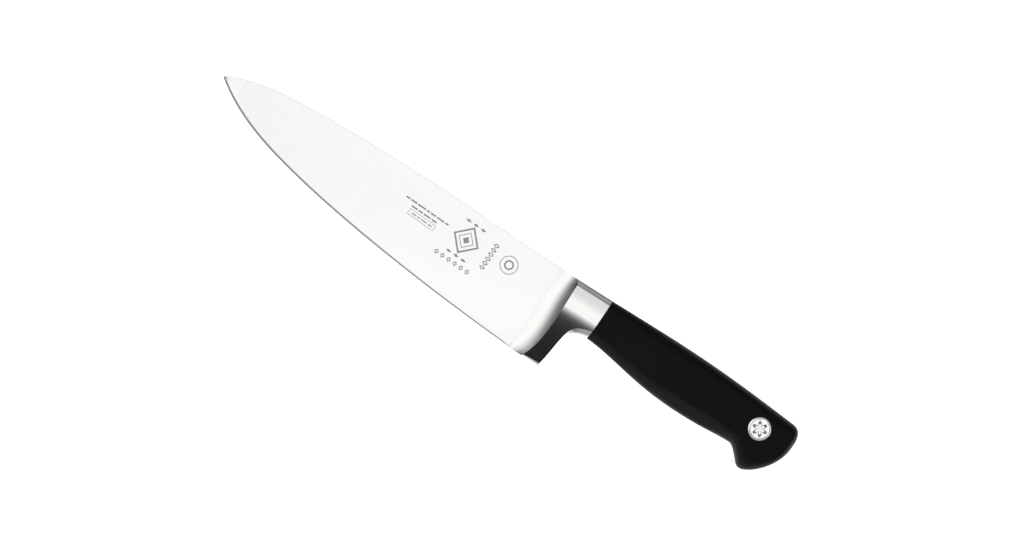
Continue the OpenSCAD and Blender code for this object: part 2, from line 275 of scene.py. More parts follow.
def spine_drop(t):
    return SPINE_FALL * SPINE_ROUND * (1 - t) ** 2


def collar_top(y):
    """Half thickness over the strip along the top of the collar, which has three narrow facets."""
    into = clip((COLLAR_Y - y) / COLLAR_CHAMFER, 0, 1)
    inner, outer = COLLAR_FACETS
    drop = COLLAR_FALLS[0] * (1 - max(into, inner))
    drop += COLLAR_FALLS[1] * (inner - clip(into, outer, inner))
    drop += COLLAR_FALLS[2] * (outer - min(into, outer))
    return bolster_half(COLLAR_Y - COLLAR_CHAMFER) - COLLAR_CHAMFER * drop


def heel_drop(t, trail, trail_in):
    """The underside's facet: a narrow rounding, then a turn that grows towards the outer edge."""
    v = (1 - t) * trail
    rounding = min(v, HEEL_ROUNDING)
    rest = (v - rounding) / (trail - HEEL_ROUNDING)
    turn_in = trail_in - HEEL_ROUNDING_FALL * HEEL_ROUNDING
    return HEEL_ROUNDING_FALL * rounding + turn_in * (HEEL_EVEN * rest + (1 - HEEL_EVEN) * rest**2.5)


def blade_column(along):
    """A column of the blade, from along = 0 at the tip to 1 where the plunge begins."""
    x_top, x_foot = mix(-L, PLUNGE_TOP_X, along), mix(-L, PLUNGE_FOOT_X, along)
    top, foot = spine_at(x_top), edge_at(x_foot)
    tall = top - foot
    lead = min(SPINE_ROUND, SPINE_SHARE_LIMIT * tall)
    trail = min(bevel_width(x_foot), BEVEL_SHARE_LIMIT * tall)

    def x_of(y):
        share = (top - y) / tall
        bow = plunge_start(y) - mix(PLUNGE_TOP_X, PLUNGE_FOOT_X, share)
        return mix(x_top, x_foot, share) + bow * along**BLADE_BOW_POWER

    def half_of(y):
        return blade_half(x_of(y), tall, (top - y) / (tall - trail))

    full = half_of(foot + trail)
    return face_column(
        top,
        foot,
        lead,
        trail,
        x_of,
        half_of,
        lambda t, y: max(half_of(y) - spine_drop(t), EDGE_LAND),
        lambda t: full - bevel_slope(x_foot, full) * trail * (1 - t),
    )


def plunge_column(u):
    """A column of the plunge, from u = 0 on the blade's flat to 1 on the ridge."""
    x_foot = mix(PLUNGE_FOOT_X, RIDGE_FOOT_X, u)
    foot = edge_at(x_foot)
    top = mix(spine_at(PLUNGE_TOP_X), COLLAR_Y, u)
    tall = top - foot
    lead = mix(SPINE_ROUND, COLLAR_CHAMFER, u)
    trail = mix(bevel_width(PLUNGE_FOOT_X), RIDGE_CHAMFER, u * u)

    def x_of(y):
        return mix(plunge_start(y), ridge_x(y), u)

    def half_of(y):
        rise = u ** mix(*PLUNGE_POWER, depth_share(y) ** PLUNGE_TIGHTENING)
        return mix(blade_half(x_of(y), tall, (top - y) / (tall - trail)), bolster_half(y), rise)

    full = half_of(foot + trail)
    slope = mix(bevel_slope(x_foot, EDGE_HALF), HEEL_CHAMFER_IN / HEEL_CHAMFER, u)
    return face_column(
        top,
        foot,
        lead,
        trail,
        x_of,
        half_of,
        lambda t, y: min(half_of(y) - spine_drop(t) * (1 - u), collar_top(y)),
        lambda t: full - slope * trail * (1 - t),
    )


def underside(s):
    """The lower outline from the ridge (s = 0) to the collar's rear end (s = 1)."""
    if s < UNDER_HEEL_END:
        x = mix(RIDGE_FOOT_X, HEEL[0], s / UNDER_HEEL_END)
        return x, edge_at(x)
    if s < UNDER_GUARD_END:
        return bez(GUARD_REAR, (s - UNDER_HEEL_END) / UNDER_HEEL_END)
    return bez(CHOIL, (s - UNDER_GUARD_END) / UNDER_TURN_WIDTH)


def bolster_column(s):
    """A column of the bolster, from s = 0 on the ridge to 1 at the collar's rear end."""
    foot = underside(s)
    x_top, tall = s * COLLAR_LENGTH, COLLAR_Y - foot[1]
    under = clip((s - UNDER_HEEL_END) / UNDER_TURN_WIDTH, 0, 1)
    growth = mix(RIDGE_CHAMFER / HEEL_CHAMFER, 1, clip(s / UNDER_HEEL_END, 0, 1))
    trail = mix(HEEL_CHAMFER, CHOIL_CHAMFER, under) * growth
    trail_in = mix(HEEL_CHAMFER_IN, CHOIL_CHAMFER_IN, under) * growth

    def x_of(y):
        share = (COLLAR_Y - y) / tall
        chord = mix(0, RIDGE_FOOT_X, clip((COLLAR_Y - y) / H, 0, 1))
        bow = 0 if y <= foot[1] else (ridge_x(y) - chord) * (1 - s) ** BOLSTER_BOW_POWER
        return mix(x_top, foot[0], share) + bow + SEAM_LEAN * (share - share**3) * s**SEAM_POWER

    full = bolster_half(foot[1] + trail)
    return face_column(
        COLLAR_Y,
        foot[1],
        COLLAR_CHAMFER,
        trail,
        x_of,
        bolster_half,
        lambda t, y: collar_top(y),
        lambda t: full - heel_drop(t, trail, trail_in),
    )


def steel_columns():
    """All columns of the forging's face, from the tip to the collar's rear end."""
    columns = []
    for i in range(BLADE_COLUMNS):
        columns.append(blade_column((i / (BLADE_COLUMNS - 1)) ** COLUMN_SPACING))
    for i in range(1, PLUNGE_COLUMNS + 1):
        columns.append(plunge_column(i / PLUNGE_COLUMNS))
    for i in range(1, BOLSTER_COLUMNS + 1):
        columns.append(bolster_column(i / BOLSTER_COLUMNS))
    return columns


# ------------------------------------------------------------------------------------------
# Bodies
# ------------------------------------------------------------------------------------------

# points closer than this, in millimetres, are joined after a cut
WELD = 0.0008


def new_object(name, verts, faces, material):
    mesh = bpy.data.meshes.new(name)
    mesh.from_pydata([tuple(v) for v in verts], [], faces)
    mesh.materials.append(material)
    mesh.update()
    obj = bpy.data.objects.new(name, mesh)
    bpy.context.scene.collection.objects.link(obj)
    return obj


def shade(obj, angle=None):
    """Smooth shading, with edges sharper than angle degrees kept crisp."""
    mesh = obj.data
    mesh.polygons.foreach_set("use_smooth", [True] * len(mesh.polygons))
    if angle is not None:
        bm = bmesh.new()
        bm.from_mesh(mesh)
        limit = math.radians(angle)
        for edge in bm.edges:
            if len(edge.link_faces) == 2 and edge.calc_face_angle(0) > limit:
                edge.smooth = False
        bm.to_mesh(mesh)
        bm.free()
    mesh.update()


def mirrored_body(name, columns, material, crease_rows=(), crease_columns=()):
    """A closed body from the columns of its left face, mirrored to the right side."""
    n, m = len(columns), len(columns[0])
    left = np.array(columns).reshape(-1, 3)
    right = left * [1, 1, -1]
    faces = []

    def at(side, i, j):
        return side * n * m + i * m + j

    for i in range(n - 1):
        for j in range(m - 1):
            faces.append((at(0, i, j), at(0, i, j + 1), at(0, i + 1, j + 1), at(0, i + 1, j)))
            faces.append((at(1, i, j), at(1, i + 1, j), at(1, i + 1, j + 1), at(1, i, j + 1)))
        faces.append((at(0, i, 0), at(0, i + 1, 0), at(1, i + 1, 0), at(1, i, 0)))
        faces.append((at(0, i, m - 1), at(1, i, m - 1), at(1, i + 1, m - 1), at(0, i + 1, m - 1)))
    for j in range(m - 1):
        faces.append((at(0, 0, j), at(1, 0, j), at(1, 0, j + 1), at(0, 0, j + 1)))
        faces.append((at(0, n - 1, j), at(0, n - 1, j + 1), at(1, n - 1, j + 1), at(1, n - 1, j)))
    obj = new_object(name, to_frame(np.vstack([left, right])), faces, material)
    mesh = obj.data
    sharp = set()
    for side in (0, 1):
        for j in (0, m - 1, *crease_rows):
            sharp.update(frozenset((at(side, i, j), at(side, i + 1, j))) for i in range(n - 1))
        for i in (0, n - 1, *crease_columns):
            sharp.update(frozenset((at(side, i, j), at(side, i, j + 1))) for j in range(m - 1))
    mesh.polygons.foreach_set("use_smooth", [True] * len(mesh.polygons))
    for edge in mesh.edges:
        if frozenset(edge.vertices) in sharp:
            edge.use_edge_sharp = True
    mesh.update()
    return obj


def ring_body(name, rings, material):
    """A closed body through rings of points, with a flat face at each end."""
    n, m = len(rings), len(rings[0])
    faces = []
    for i in range(n - 1):
        for k in range(m):
            a, b = i * m + k, i * m + (k + 1) % m
            faces.append((a, a + m, b + m, b))
    faces.append(tuple(range(m)))
    faces.append(tuple((n - 1) * m + k for k in reversed(range(m))))
    return new_object(name, to_frame(np.array(rings).reshape(-1, 3)), faces, material)


def prism(name, outline, z0, z1, material):
    """A closed body with the given outline, from height z0 to z1."""
    n = len(outline)
    verts = [(x, y, z0) for x, y in outline] + [(x, y, z1) for x, y in outline]
    faces = [tuple(range(n)), tuple(range(2 * n - 1, n - 1, -1))]
    faces += [(i, n + i, n + (i + 1) % n, (i + 1) % n) for i in range(n)]
    return new_object(name, to_frame(verts), faces, material)


def rod(name, centre, diameter, z0, z1, material, sides=96):
    r = diameter / 2
    turn = [2 * math.pi * i / sides for i in range(sides)]
    outline = [(centre[0] + r * math.cos(-a), centre[1] + r * math.sin(-a)) for a in turn]
    return prism(name, outline, z0, z1, material)


def combine(obj, tools, operation):
    """Joins or cuts obj with closed tool bodies, and removes the tools."""
    for tool in tools:
        fix_normals(tool)
        mod = obj.modifiers.new("combine", "BOOLEAN")
        mod.operation = operation
        mod.solver = "EXACT"
        mod.object = tool
        evaluated = obj.evaluated_get(bpy.context.evaluated_depsgraph_get())
        mesh = bpy.data.meshes.new_from_object(evaluated)
        obj.modifiers.clear()
        obj.data = mesh
        bpy.data.objects.remove(tool)
    weld(obj)


def weld(obj):
    """Joins points that a cut left almost on top of each other."""
    bm = bmesh.new()
    bm.from_mesh(obj.data)
    bmesh.ops.remove_doubles(bm, verts=bm.verts, dist=WELD * MM)
    bmesh.ops.dissolve_degenerate(bm, dist=WELD * MM, edges=bm.edges)
    bm.to_mesh(obj.data)
    bm.free()


def fix_normals(obj):
    """Turns every face outwards."""
    bm = bmesh.new()
    bm.from_mesh(obj.data)
    bmesh.ops.recalc_face_normals(bm, faces=bm.faces)
    bm.to_mesh(obj.data)
    bm.free()


# ------------------------------------------------------------------------------------------
# The handle's outline and sections
# ------------------------------------------------------------------------------------------


def hx(share):
    """A position at a share of the handle's length behind the collar."""
    return COLLAR_LENGTH + share * HANDLE_LENGTH


GRIP_TOP = [(hx(0), -0.6), (hx(0.396), -0.15), (hx(0.516), 0.3), (hx(0.954), -4.2)]
GRIP_CORNER = [(hx(0.954), -4.2), (hx(0.983), -4.7), (hx(1), -7.6), (hx(1), -13.5)]
GRIP_BUTT = [(hx(0.862), -36.75), (hx(0.926), -34.3), (hx(1), -23.5), (hx(1), -13.5)]
GRIP_BEAK = [(hx(0.827), -35.45), (hx(0.835), -36.5), (hx(0.847), -37.2), (hx(0.862), -36.75)]
GRIP_HOOK = [(hx(0.757), -28.6), (hx(0.774), -28.6), (hx(0.8), -32), (hx(0.827), -35.45)]
GRIP_BELLY = [(hx(0.506), -29.95), (hx(0.644), -29.95), (hx(0.671), -28.6), (hx(0.757), -28.6)]
GRIP_WAIST = [(hx(0), -23.1), (hx(0.147), -24.1), (hx(0.266), -29.95), (hx(0.506), -29.95)]
GRIP_FRONT_HALF = 6.3
GRIP_CROWN = 0.6
GRIP_SWELL_END = 0.5
BUTT_ROUND = 5.0
TOP_SQUARENESS = 0.5
BELLY_SQUARENESS = 0.7
FLAT_SOFTNESS = 0.25
FACET_SLOPE = 0.62
FACET_WIDTH = (5.2, 7.3, 3.5)
FACET_SOFTNESS = 0.35
# behind this the handle's sections fan round the hooked butt
FAN_X = hx(0.827)
TOP_END_X = hx(0.954)
CORNER_AT = 0.5
BEAK_AT = 0.15
FAN_LAST_ANGLE = 88
SEAM_FADE_POWER = 8
RIVET = (hx(0.831), -15.0)
CORE_HALF = 5.0
GRIP_COLUMNS = 120
BUTT_COLUMNS = 60
RING_POINTS = 128


def grip_top_at(x):
    return bez_y(GRIP_TOP, clip(x, hx(0), TOP_END_X))


def grip_under_at(x):
    if x < hx(0.506):
        return bez_y(GRIP_WAIST, max(x, hx(0)))
    return bez_y(GRIP_BELLY, x) if x < hx(0.757) else bez_y(GRIP_HOOK, min(x, FAN_X))


def grip_half(x):
    """Half thickness before the side is made flat; it swells from the seam towards the middle."""
    swell = smooth((x - hx(0)) / (hx(GRIP_SWELL_END) - hx(0)))
    return mix(GRIP_FRONT_HALF, HALF_HANDLE + GRIP_CROWN, swell)


def power(v, p):
    """v to the power p, keeping its sign."""
    return math.copysign(abs(v) ** p, v)


def facet_at(x):
    """How far up from the underside the lower facet reaches."""
    share = (x - hx(0)) / HANDLE_LENGTH
    width = mix(FACET_WIDTH[0], FACET_WIDTH[1], smooth(share / 0.45))
    return width - (FACET_WIDTH[1] - FACET_WIDTH[2]) * smooth((share - 0.6) / 0.26)


def grip_ring(top, under, half, curl=0.0):
    """A section of the handle, rounded for the fingers below and cut there by the lower facet."""
    mid = ((top[0] + under[0]) / 2, (top[1] + under[1]) / 2)
    arm = ((top[0] - under[0]) / 2, (top[1] - under[1]) / 2)
    width, side = facet_at(mid[0]), min(half, HALF_HANDLE)
    slope = FACET_SLOPE * min(1, side / GRIP_FRONT_HALF)
    ring = []
    for k in range(RING_POINTS):
        a = 2 * math.pi * (k + 0.5) / RING_POINTS
        c, s = math.cos(a), math.sin(a)
        p = TOP_SQUARENESS if c > 0 else BELLY_SQUARENESS
        r = power(c, p)
        z = soft_min(half * abs(s) ** p, HALF_HANDLE, FLAT_SOFTNESS)
        z = soft_min(z, side - slope * (width - math.hypot(*arm) * (1 + r)), FACET_SOFTNESS)
        share = (1 - r) / 2
        x = mid[0] + arm[0] * r + curl * (share - share**3)
        ring.append((x, mid[1] + arm[1] * r, math.copysign(max(z, 0.0), s)))
    return ring


def grip_rings():
    """Sections from the seam to the butt, upright at first and then fanned round the hook."""
    rings = []
    for i in range(GRIP_COLUMNS):
        share = i / GRIP_COLUMNS
        top, under = mix(hx(0), FAN_X, share), mix(hx(0) - SEAM_LEAN, FAN_X, share)
        half = grip_half((top + under) / 2)
        curl = SEAM_LEAN * (1 - share) ** SEAM_FADE_POWER
        rings.append(grip_ring((top, grip_top_at(top)), (under, grip_under_at(under)), half, curl))
    for i in range(BUTT_COLUMNS + 1):
        u = math.sin(math.radians(FAN_LAST_ANGLE) * i / BUTT_COLUMNS)
        if u < CORNER_AT:
            x = mix(FAN_X, TOP_END_X, u / CORNER_AT)
            top = (x, grip_top_at(x))
        else:
            top = bez(GRIP_CORNER, (u - CORNER_AT) / (1 - CORNER_AT))
        if u < BEAK_AT:
            under = bez(GRIP_BEAK, u / BEAK_AT)
        else:
            under = bez(GRIP_BUTT, (u - BEAK_AT) / (1 - BEAK_AT))
        left = clip((hx(1) - (top[0] + under[0]) / 2) / BUTT_ROUND, 0, 1)
        rings.append(grip_ring(top, under, grip_half(hx(1)) * math.sqrt(1 - (1 - left) ** 2)))
    return rings


def inner_outline(x0, inset, low, steps=24):
    """Follows the handle's top and underside at a distance and ends in a half circle at the rivet."""
    x1 = RIVET[0]
    high = grip_top_at(x1) - inset
    end_r = (high - low) / 2
    xs = [mix(x0, x1, i / steps) for i in range(steps + 1)]
    top = [(x, grip_top_at(x) - inset) for x in xs]
    arc = [math.radians(a) for a in range(80, -81, -8)]
    end = [(x1 + end_r * math.cos(a), high - end_r + end_r * math.sin(a)) for a in arc]
    under = [(x, max(grip_under_at(x) + inset, low)) for x in reversed(xs)]
    return top + end + under


# ------------------------------------------------------------------------------------------
# Materials
# ------------------------------------------------------------------------------------------


class Nodes:
    """A small helper that adds shader nodes and joins them."""

    def __init__(self, tree):
        self.tree = tree

    def add(self, kind, inputs=None, **settings):
        node = self.tree.nodes.new(kind)
        for key, value in settings.items():
            setattr(node, key, value)
        for key, value in (inputs or {}).items():
            if isinstance(value, bpy.types.NodeSocket):
                self.tree.links.new(value, node.inputs[key])
            else:
                node.inputs[key].default_value = value
        return node

    def math(self, operation, a, b=0.0):
        return self.add("ShaderNodeMath", {0: a, 1: b}, operation=operation).outputs[0]

    def ramp(self, value, low, high, to_low, to_high, shape="LINEAR"):
        """value going from low to high becomes to_low to to_high, held at the ends."""
        node = self.add(
            "ShaderNodeMapRange",
            {"Value": value, "From Min": low, "From Max": high, "To Min": to_low, "To Max": to_high},
            interpolation_type=shape,
        )
        return node.outputs["Result"]

    def noise(self, vector, scale, detail=3.0, stretch=(1, 1, 1)):
        mapping = self.add("ShaderNodeMapping", {"Vector": vector, "Scale": stretch})
        return self.add(
            "ShaderNodeTexNoise", {"Vector": mapping.outputs["Vector"], "Scale": scale, "Detail": detail}
        ).outputs["Fac"]


def new_material(name):
    mat = bpy.data.materials.new(name)
    mat.use_nodes = True
    nodes = Nodes(mat.node_tree)
    shader = mat.node_tree.nodes["Principled BSDF"]
    place = nodes.add("ShaderNodeTexCoord").outputs["Object"]
    return mat, nodes, shader, place


def shade_range(nodes, factor, dark, light):
    """A colour between dark and light, by factor."""
    ramp = nodes.add("ShaderNodeValToRGB", {"Fac": factor})
    ramp.color_ramp.elements[0].color = (*dark, 1)
    ramp.color_ramp.elements[1].color = (*light, 1)
    return ramp.outputs["Color"]


def steel_material(name, dark, light, rough_low, rough_high, grain, stretch, bump):
    """Ground or polished steel: fine lines one way, and slow changes in colour and roughness."""
    mat, nodes, shader, place = new_material(name)
    lines = nodes.noise(place, grain, 4.0, stretch)
    clouds = nodes.noise(place, 45.0, 2.0)
    total = nodes.math("ADD", nodes.math("MULTIPLY", lines, 0.6), nodes.math("MULTIPLY", clouds, 0.4))
    nodes.tree.links.new(shade_range(nodes, total, dark, light), shader.inputs["Base Color"])
    nodes.tree.links.new(nodes.ramp(total, 0.3, 0.7, rough_low, rough_high), shader.inputs["Roughness"])
    bumps = nodes.add("ShaderNodeBump", {"Height": lines, "Distance": bump, "Strength": 0.6})
    nodes.tree.links.new(bumps.outputs["Normal"], shader.inputs["Normal"])
    shader.inputs["Metallic"].default_value = 1.0
    return mat


def matte_material(name, dark, light, rough_low, rough_high, grain, bump, specular):
    """Moulded rubber or plastic: an even fine pebble with slight changes in tone."""
    mat, nodes, shader, place = new_material(name)
    pebble = nodes.noise(place, grain, 2.0)
    clouds = nodes.noise(place, 60.0, 3.0)
    nodes.tree.links.new(shade_range(nodes, clouds, dark, light), shader.inputs["Base Color"])
    nodes.tree.links.new(nodes.ramp(pebble, 0.3, 0.7, rough_low, rough_high), shader.inputs["Roughness"])
    bumps = nodes.add("ShaderNodeBump", {"Height": pebble, "Distance": bump, "Strength": 0.7})
    nodes.tree.links.new(bumps.outputs["Normal"], shader.inputs["Normal"])
    shader.inputs["Specular IOR Level"].default_value = specular
    return mat


# name, darkest and lightest colour, least and greatest roughness, grain, its stretch along x, y
# and z, and the height of its relief in metres
blade_mat = steel_material(
    "blade_satin",
    (0.62, 0.625, 0.625),
    (0.69, 0.695, 0.695),
    0.05,
    0.08,
    900.0,
    (1.0, 0.05, 1.0),
    0.0000003,
)
bolster_mat = steel_material(
    "bolster_polish",
    (0.61, 0.605, 0.595),
    (0.67, 0.665, 0.65),
    0.03,
    0.05,
    1200.0,
    (0.15, 1.0, 1.0),
    0.0000003,
)
medallion_mat = steel_material(
    "medallion_steel",
    (0.66, 0.665, 0.665),
    (0.72, 0.725, 0.725),
    0.12,
    0.18,
    1500.0,
    (1.0, 1.0, 1.0),
    0.000001,
)
pin_mat = steel_material(
    "pin_steel", (0.4, 0.4, 0.4), (0.5, 0.5, 0.5), 0.3, 0.4, 1500.0, (1.0, 1.0, 0.1), 0.00001
)
# name, darkest and lightest colour, least and greatest roughness, grain, height of its relief in
# metres, and strength of the clear reflection
# the medallion's dark line round the petals is painted shade along the relief's edges
painted_shade_mat = matte_material(
    "medallion_painted_shade", (0.2, 0.195, 0.19), (0.3, 0.29, 0.28), 0.4, 0.5, 1500.0, 0.000002, 0.3
)
grip_mat = matte_material(
    "soft_grip", (0.0025, 0.0025, 0.0028), (0.0035, 0.0035, 0.0038), 0.45, 0.55, 2600.0, 0.00004, 0.1
)
core_mat = matte_material(
    "core_plastic", (0.03, 0.03, 0.03), (0.045, 0.045, 0.045), 0.4, 0.5, 800.0, 0.00002, 0.4
)
etch_mat = matte_material(
    "etched_mark", (0.42, 0.4, 0.38), (0.5, 0.48, 0.455), 0.5, 0.7, 3000.0, 0.000005, 0.3
)

# ------------------------------------------------------------------------------------------
# The forging
# ------------------------------------------------------------------------------------------

TANG_HALF = 1.6
TANG_ROOT_X = COLLAR_LENGTH - 4
PINS = [(hx(0.2), -12.5), (hx(0.55), -14.5)]
PIN_D = 4.0
TUBE_D = 6.0
RIVET_FIT = 0.1
KEYHOLE = (hx(0.375), -13.5)
KEYHOLE_SIZE = (16.0, 6.0)
TANG_INSET = 5.5
TANG_LOW_Y = -22.0
HOLE_REACH = 4

ridge_column = BLADE_COLUMNS + PLUNGE_COLUMNS - 1
forging = mirrored_body(
    "forged_blade_steel",
    steel_columns(),
    blade_mat,
    (len(LEAD_STEPS), len(LEAD_STEPS) + MAIN_ROWS),
    (ridge_column,),
)
forging.data.materials.append(bolster_mat)
plunge_x = float(to_frame([(PLUNGE_FOOT_X, 0, 0)])[0][0])


def slot_outline(centre, size, steps=16):
    """A slot with round ends: size is its straight length and its width."""
    half, r = size[0] / 2, size[1] / 2
    points = []
    for side in (1, -1):
        for i in range(steps + 1):
            a = -math.pi / 2 + math.pi * i / steps
            points.append((centre[0] + side * (half + r * math.cos(a)), centre[1] + side * r * math.sin(a)))
    return points


tang = prism(
    "tang_tool", inner_outline(TANG_ROOT_X, TANG_INSET, TANG_LOW_Y), -TANG_HALF, TANG_HALF, bolster_mat
)
fix_normals(forging)
combine(forging, [tang], "UNION")
cutters = [rod("hole", p, PIN_D, -HOLE_REACH, HOLE_REACH, bolster_mat) for p in PINS]
cutters.append(rod("hole", RIVET, TUBE_D + RIVET_FIT, -HOLE_REACH, HOLE_REACH, bolster_mat))
cutters.append(
    prism("hole", slot_outline(KEYHOLE, KEYHOLE_SIZE), -HOLE_REACH, HOLE_REACH, bolster_mat)
)
combine(forging, cutters, "DIFFERENCE")
for poly in forging.data.polygons:
    poly.material_index = 1 if poly.center.x > plunge_x else 0
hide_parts("forged_blade")
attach(forging, "root")

# ------------------------------------------------------------------------------------------
# The soft handle, hollow for its core and pocketed for the medallions
# ------------------------------------------------------------------------------------------

HEAD_FACE = HALF_HANDLE - 0.15
HEAD_SIDES = 192
HEAD_T = 1.6
MEDALLION_D = 12.4
CAVITY_FRONT_X = COLLAR_LENGTH - 2
CAVITY_INSET = 3.4
CAVITY_LOW_Y = -24.0
POCKET_REACH = 12

grip = ring_body("grip_soft_skin", grip_rings(), grip_mat)
fix_normals(grip)
cavity_outline = inner_outline(CAVITY_FRONT_X, CAVITY_INSET, CAVITY_LOW_Y)
cavity = prism("cavity", cavity_outline, -CORE_HALF, CORE_HALF, grip_mat)
pockets = [rod("pocket", RIVET, TUBE_D + RIVET_FIT, -POCKET_REACH, POCKET_REACH, grip_mat)]
for z0, z1 in ((HEAD_FACE - HEAD_T, POCKET_REACH), (-POCKET_REACH, HEAD_T - HEAD_FACE)):
    pockets.append(rod("pocket", RIVET, MEDALLION_D, z0, z1, grip_mat, HEAD_SIDES))
combine(grip, [cavity, *pockets], "DIFFERENCE")
shade(grip, 40)
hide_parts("grip")
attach(grip, "root")

# ------------------------------------------------------------------------------------------
# The medallion rivets: a bevelled rim, a dish and a rosette in low relief
# ------------------------------------------------------------------------------------------

SHANK_D = 4.0
SHANK_END = -5.5
BORE_END = -6.0
RIM_BEVEL = 0.75
RIM_DROP = 0.5
DISH_TOP_R = 5.0
DISH_R = 4.7
DISH_DEPTH = 0.35
PETALS = 6
PETAL_REACH = 4.0
PETAL_HEIGHT = 0.2
PETAL_EDGE = 0.5
PETAL_LINE = 0.45


def petal_reach(a):
    """How far from the middle a petal reaches, towards angle a."""
    return PETAL_REACH * abs(math.cos(PETALS * a / 2)) ** 0.7


def rosette(r, a):
    """Height of the relief above the dish, in millimetres."""
    return PETAL_HEIGHT * smooth((petal_reach(a) - r) / PETAL_EDGE)


def in_painted_shade(r, a):
    """Whether a point of the dish lies in the dark line round a petal, whose colour is painted shade for the
    relief's sloping edge.
    """
    return 0.5 < r < petal_reach(a) and r > petal_reach(a) - PETAL_LINE - 0.35 * r


def head_height(r, a):
    """Height of the medallion's face at radius r, from HEAD_FACE."""
    edge = MEDALLION_D / 2
    if r > edge - RIM_BEVEL:
        return -RIM_DROP * (r - (edge - RIM_BEVEL)) / RIM_BEVEL
    if r > DISH_TOP_R:
        return 0.0
    if r > DISH_R:
        return -DISH_DEPTH * (DISH_TOP_R - r) / (DISH_TOP_R - DISH_R)
    return -DISH_DEPTH + rosette(r, a)


def lathe(name, face_radii, back_profile, material, flip):
    """A turned piece on the rivet's axis: a relief face, then the plain profile behind it."""
    turn = [2 * math.pi * k / HEAD_SIDES for k in range(HEAD_SIDES)]
    rows = [[(r, HEAD_FACE + head_height(r, a), a) for a in turn] for r in face_radii]
    rows += [[(r, z, a) for a in turn] for r, z in back_profile[:-1]]
    verts = [(0.0, 0.0, HEAD_FACE + head_height(0.0, 0.0))]
    for row in rows:
        verts += [(r * math.cos(a), r * math.sin(a), z) for r, z, a in row]
    verts.append((0.0, 0.0, back_profile[-1][1]))
    n, last = HEAD_SIDES, len(verts) - 1
    faces = [(0, 1 + k, 1 + (k + 1) % n) for k in range(n)]
    for i in range(len(rows) - 1):
        a, b = 1 + i * n, 1 + (i + 1) * n
        faces += [(a + k, b + k, b + (k + 1) % n, a + (k + 1) % n) for k in range(n)]
    a = 1 + (len(rows) - 1) * n
    faces += [(a + k, last, a + (k + 1) % n) for k in range(n)]
    points = np.array(verts)
    if flip:
        points = points * [1, -1, -1]
    obj = new_object(name, to_frame(points + [RIVET[0], RIVET[1], 0]), faces, material)
    obj.data.materials.append(painted_shade_mat)
    # the faces in the line round each petal take the painted shade
    for i, (r0, r1) in enumerate(zip(face_radii, face_radii[1:])):
        for k in range(n):
            if in_painted_shade((r0 + r1) / 2, turn[k] + math.pi / n):
                obj.data.polygons[n + i * n + k].material_index = 1
    fix_normals(obj)
    shade(obj, 35)
    return obj


face_radii = list(np.arange(0.1, DISH_R, 0.1))
face_radii += [DISH_R, DISH_TOP_R, MEDALLION_D / 2 - RIM_BEVEL, MEDALLION_D / 2]
head_back = HEAD_FACE - HEAD_T
male = lathe(
    "medallion_left",
    face_radii,
    [(MEDALLION_D / 2, head_back), (SHANK_D / 2, head_back), (SHANK_D / 2, SHANK_END), (0, SHANK_END)],
    medallion_mat,
    False,
)
female = lathe(
    "medallion_right",
    face_radii,
    [
        (MEDALLION_D / 2, head_back),
        (TUBE_D / 2, head_back),
        (TUBE_D / 2, -head_back),
        (SHANK_D / 2, -head_back),
        (SHANK_D / 2, -BORE_END),
        (0, -BORE_END),
    ],
    medallion_mat,
    True,
)
for obj, node in ((male, "medallion_rivet_male"), (female, "medallion_rivet_female")):
    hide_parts(node)
    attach(obj, "root")

# ------------------------------------------------------------------------------------------
# Etched marks on the blade's left side: plain dashes, lozenges and two rings, with no lettering
# ------------------------------------------------------------------------------------------

ETCH_PROUD = 0.012
ETCH_DEPTH = 0.05
MARK_TURN = math.radians(-2.5)

mark_verts, mark_faces = [], []


def blade_surface(x, y):
    """Half thickness of the blade at a point of its flat face."""
    top, foot = spine_at(x), edge_at(x)
    return blade_half(x, top - foot, (top - y) / (top - foot - bevel_width(x)))


def mark_points(loop, at, offset):
    """Points of a mark, turned a little and lifted off the blade's face by offset."""
    c, s = math.cos(MARK_TURN), math.sin(MARK_TURN)
    points = [(at[0] + x * c - y * s, at[1] + x * s + y * c) for x, y in loop]
    return [(x, y, blade_surface(x, y) + offset) for x, y in points]


def add_plate(loop, at):
    """A closed plate with a convex outline."""
    n, base = len(loop), len(mark_verts)
    mark_verts.extend(mark_points(loop, at, ETCH_PROUD) + mark_points(loop, at, -ETCH_DEPTH))
    mark_faces.append(tuple(range(base, base + n)))
    mark_faces.append(tuple(range(base + 2 * n - 1, base + n - 1, -1)))
    for k in range(n):
        j = (k + 1) % n
        mark_faces.append((base + k, base + n + k, base + n + j, base + j))


def add_band(outer, inner, at):
    """A closed band between two loops with the same number of points."""
    n, base = len(outer), len(mark_verts)
    for offset in (ETCH_PROUD, -ETCH_DEPTH):
        for loop in (outer, inner):
            mark_verts.extend(mark_points(loop, at, offset))
    o, i, ob, ib = base, base + n, base + 2 * n, base + 3 * n
    for k in range(n):
        j = (k + 1) % n
        mark_faces.append((o + k, o + j, i + j, i + k))
        mark_faces.append((ob + j, ob + k, ib + k, ib + j))
        mark_faces.append((o + j, o + k, ob + k, ob + j))
        mark_faces.append((i + k, i + j, ib + j, ib + k))


def oval(rx, ry, sides):
    turn = [2 * math.pi * k / sides for k in range(sides)]
    return [(rx * math.cos(a), ry * math.sin(a)) for a in turn]


def box_loop(w, h):
    return [(-w / 2, -h / 2), (w / 2, -h / 2), (w / 2, h / 2), (-w / 2, h / 2)]


def add_lozenge(at, rx, ry, line):
    """A lozenge outline with a line of the given width."""
    inner = 1 - line * math.hypot(rx, ry) / (rx * ry)
    add_band(oval(rx, ry, 4), oval(rx * inner, ry * inner, 4), at)


def add_ring(at, r, line):
    add_band(oval(r, r, 64), oval(r - line, r - line, 64), at)


